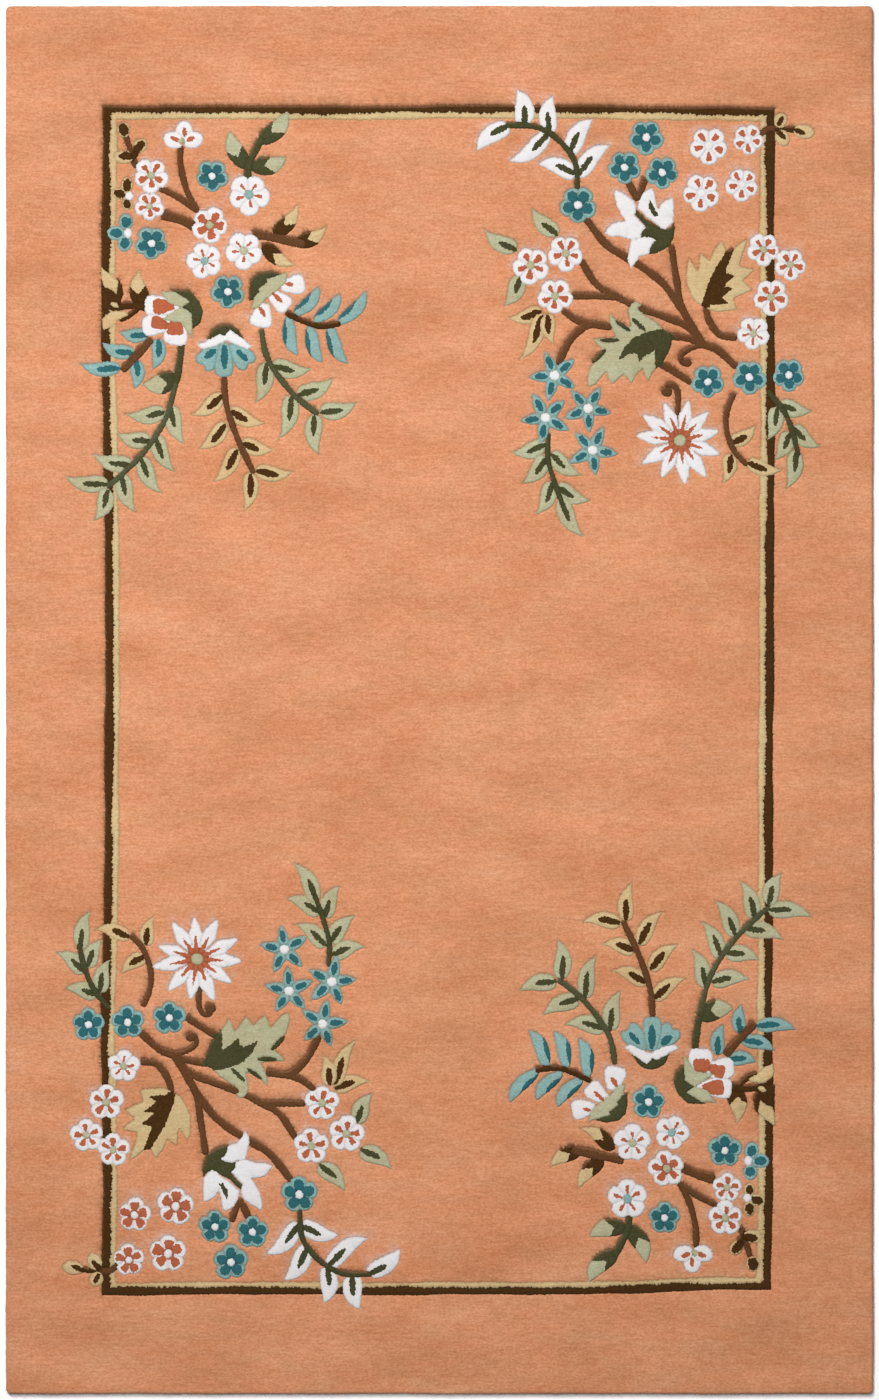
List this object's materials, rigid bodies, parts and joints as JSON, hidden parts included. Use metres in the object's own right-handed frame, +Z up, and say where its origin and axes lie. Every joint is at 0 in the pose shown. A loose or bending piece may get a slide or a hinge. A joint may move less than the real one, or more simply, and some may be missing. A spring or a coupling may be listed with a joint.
{
  "type": "rug",
  "caption": "Flat rectangular hand-knotted wool rug with a carved floral spray in each corner, laid over a narrow two-colour border line on a plain field.",
  "frame": {"origin": "middle of the rug's underside", "axes": "+Z up out of the pile, +Y along the length, +X across the width"},
  "size_m": [1.524, 2.438, 0.014],
  "materials": {
    "field_wool": "cut wool pile, matt",
    "dark_brown_wool": "cut wool pile, matt",
    "stem_brown_wool": "cut wool pile, matt",
    "tan_wool": "cut wool pile, matt",
    "sage_wool": "cut wool pile, matt",
    "olive_wool": "cut wool pile, matt",
    "white_wool": "cut wool pile, matt",
    "rust_wool": "cut wool pile, matt",
    "teal_wool": "cut wool pile, matt",
    "aqua_wool": "cut wool pile, matt",
    "cotton_foundation": "woven cotton, matt"
  },
  "bodies": {
    "root": {"rug": "field_wool"}
  },
  "joints": []
}
